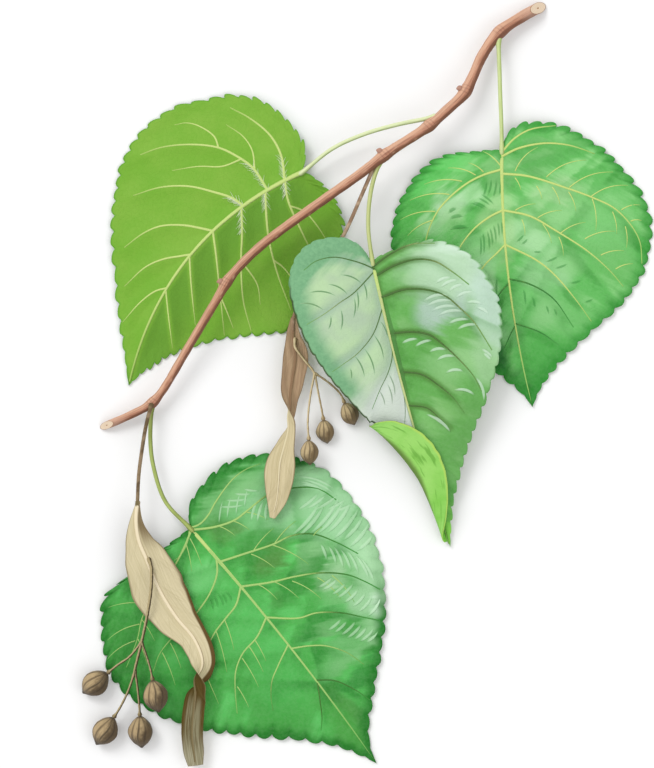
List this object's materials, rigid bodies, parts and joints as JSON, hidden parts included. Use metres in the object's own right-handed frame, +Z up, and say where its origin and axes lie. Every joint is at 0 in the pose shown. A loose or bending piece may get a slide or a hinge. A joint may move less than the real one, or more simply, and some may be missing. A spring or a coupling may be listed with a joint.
{
  "type": "cut linden twig with leaves, bracts and nutlets",
  "caption": "Cut twig of a linden tree lying flat, with heart-shaped toothed leaves on stalks, papery bracts and hanging clusters of ribbed nutlets.",
  "frame": {"origin": "middle of the outline seen from above, on the surface that the twig lies on", "axes": "+Z up from that surface, +Y along the plant's longest extent toward the thick cut end, +X to the right of the view from above"},
  "size_m": [0.1888, 0.253, 0.0169],
  "materials": {
    "bark": "smooth brown-red young bark, pale at the two cut ends",
    "leaf_upper_side": "satin green upper side with pale yellow-green veins",
    "leaf_underside": "matt yellow-green underside with raised pale veins",
    "leaf_folded": "pale sheen on one half, green on the other, yellow-green on the rolled margin",
    "petiole": "satin pale green",
    "bract": "dry papery tan, darker brown on the turned part",
    "fruit_stalk": "matt grey-brown",
    "nutlet": "felted tan with dark ribs"
  },
  "bodies": {
    "root": {"twig": "bark", "upper_leaf_blade": "leaf_underside", "upper_leaf_petiole": "petiole", "right_leaf_blade": "leaf_upper_side", "right_leaf_petiole": "petiole", "middle_leaf_blade": "leaf_folded", "middle_leaf_petiole": "petiole", "lower_leaf_blade": "leaf_upper_side", "lower_leaf_petiole": "petiole", "upper_bract": "bract", "lower_bract": "bract", "upper_fruit_stalk": "fruit_stalk", "upper_nutlet_1": "nutlet", "upper_nutlet_2": "nutlet", "upper_nutlet_3": "nutlet", "lower_fruit_stalk": "fruit_stalk", "lower_nutlet_1": "nutlet", "lower_nutlet_2": "nutlet", "lower_nutlet_3": "nutlet", "lower_nutlet_4": "nutlet"}
  },
  "joints": []
}
